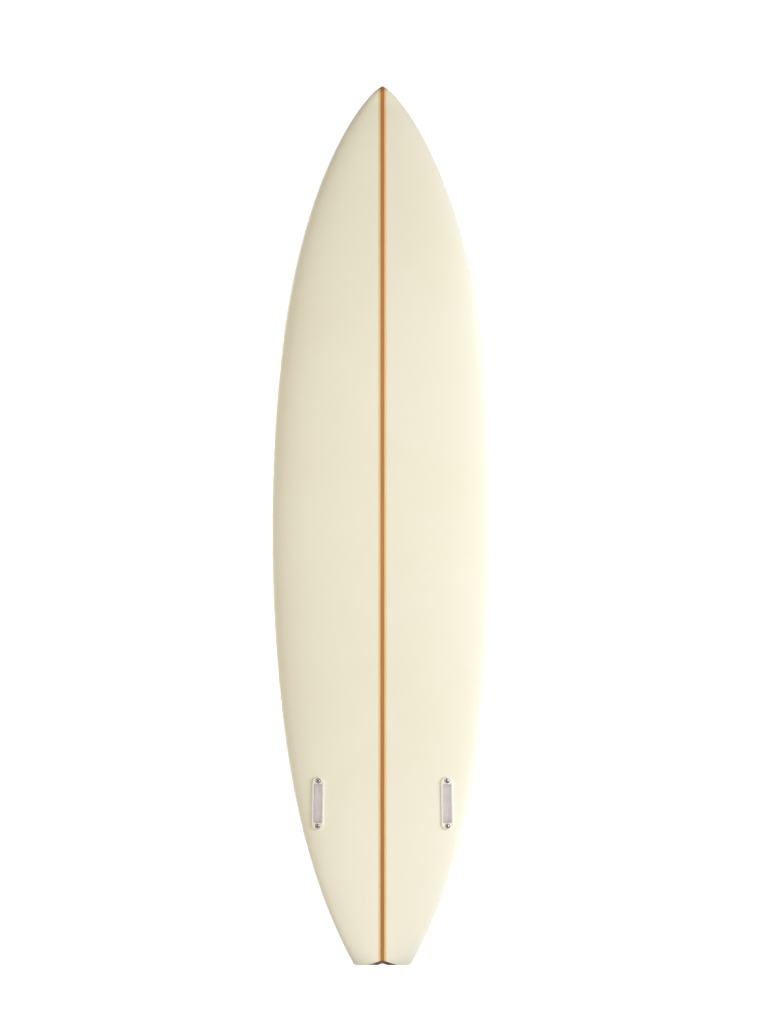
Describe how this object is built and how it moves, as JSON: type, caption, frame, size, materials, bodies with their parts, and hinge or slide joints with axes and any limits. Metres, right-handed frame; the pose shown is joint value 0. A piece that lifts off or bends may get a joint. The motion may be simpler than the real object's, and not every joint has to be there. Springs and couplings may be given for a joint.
{
  "type": "surfboard",
  "caption": "Shortboard with a pointed nose, a squared V-notched tail, a laminated wood stringer, two fin boxes with screws and a leash plug.",
  "frame": {"origin": "middle of the tail block's end, where a rack's foot holds the board upright", "axes": "+Z from tail to nose, -Y out of the bottom (fin side), +Y out of the deck, +X to the right as seen facing the bottom"},
  "size_m": [0.474, 0.1301, 1.88],
  "materials": {
    "foam": "fine-celled foam",
    "cedar": "cedar under clear resin",
    "basswood": "basswood under clear resin",
    "laminate": "clear glass cloth and resin, glossy",
    "box_plastic": "moulded, satin",
    "plug_plastic": "moulded, satin",
    "stainless": "turned stainless steel",
    "brass": "turned and knurled"
  },
  "bodies": {
    "board": {"foam_left": "foam", "foam_right": "foam", "stringer_core": "cedar", "stringer_ply_left": "basswood", "stringer_ply_right": "basswood", "bottom_laminate": "laminate", "deck_laminate": "laminate", "fin_box_left": "box_plastic", "fin_box_right": "box_plastic", "fin_insert_left_front": "brass", "fin_insert_left_rear": "brass", "fin_insert_right_front": "brass", "fin_insert_right_rear": "brass", "leash_plug": "plug_plastic", "leash_bar": "stainless"},
    "washer_left_front": {"fin_washer_left_front": "stainless"},
    "screw_left_front": {"fin_screw_left_front": "stainless"},
    "washer_left_rear": {"fin_washer_left_rear": "stainless"},
    "screw_left_rear": {"fin_screw_left_rear": "stainless"},
    "washer_right_front": {"fin_washer_right_front": "stainless"},
    "screw_right_front": {"fin_screw_right_front": "stainless"},
    "washer_right_rear": {"fin_washer_right_rear": "stainless"},
    "screw_right_rear": {"fin_screw_right_rear": "stainless"}
  },
  "joints": [
    {"name": "washer_left_front_travel", "type": "slide", "parent": "board", "child": "washer_left_front", "axis": [-0.0837, -0.9926, -0.0883], "range_m": [0, 0.0048]},
    {"name": "screw_left_front_turn", "type": "hinge", "parent": "washer_left_front", "child": "screw_left_front", "pos_m": [-0.13716, -0.04365, 0.39459], "axis": [-0.0837, -0.9926, -0.0883], "range_deg": [0, 2160]},
    {"name": "washer_left_rear_travel", "type": "slide", "parent": "board", "child": "washer_left_rear", "axis": [-0.0837, -0.9926, -0.0883], "range_m": [0, 0.0048]},
    {"name": "screw_left_rear_turn", "type": "hinge", "parent": "washer_left_rear", "child": "screw_left_rear", "pos_m": [-0.13847, -0.03493, 0.29779], "axis": [-0.0837, -0.9926, -0.0883], "range_deg": [0, 2160]},
    {"name": "washer_right_front_travel", "type": "slide", "parent": "board", "child": "washer_right_front", "axis": [0.0837, -0.9926, -0.0883], "range_m": [0, 0.0048]},
    {"name": "screw_right_front_turn", "type": "hinge", "parent": "washer_right_front", "child": "screw_right_front", "pos_m": [0.13716, -0.04365, 0.39459], "axis": [0.0837, -0.9926, -0.0883], "range_deg": [0, 2160]},
    {"name": "washer_right_rear_travel", "type": "slide", "parent": "board", "child": "washer_right_rear", "axis": [0.0837, -0.9926, -0.0883], "range_m": [0, 0.0048]},
    {"name": "screw_right_rear_turn", "type": "hinge", "parent": "washer_right_rear", "child": "screw_right_rear", "pos_m": [0.13847, -0.03493, 0.29779], "axis": [0.0837, -0.9926, -0.0883], "range_deg": [0, 2160]}
  ],
  "couplings": [
    {"joint": "screw_left_front_turn", "follows": "washer_left_front_travel", "rad_per_m": 7854},
    {"joint": "screw_left_rear_turn", "follows": "washer_left_rear_travel", "rad_per_m": 7854},
    {"joint": "screw_right_front_turn", "follows": "washer_right_front_travel", "rad_per_m": 7854},
    {"joint": "screw_right_rear_turn", "follows": "washer_right_rear_travel", "rad_per_m": 7854}
  ]
}
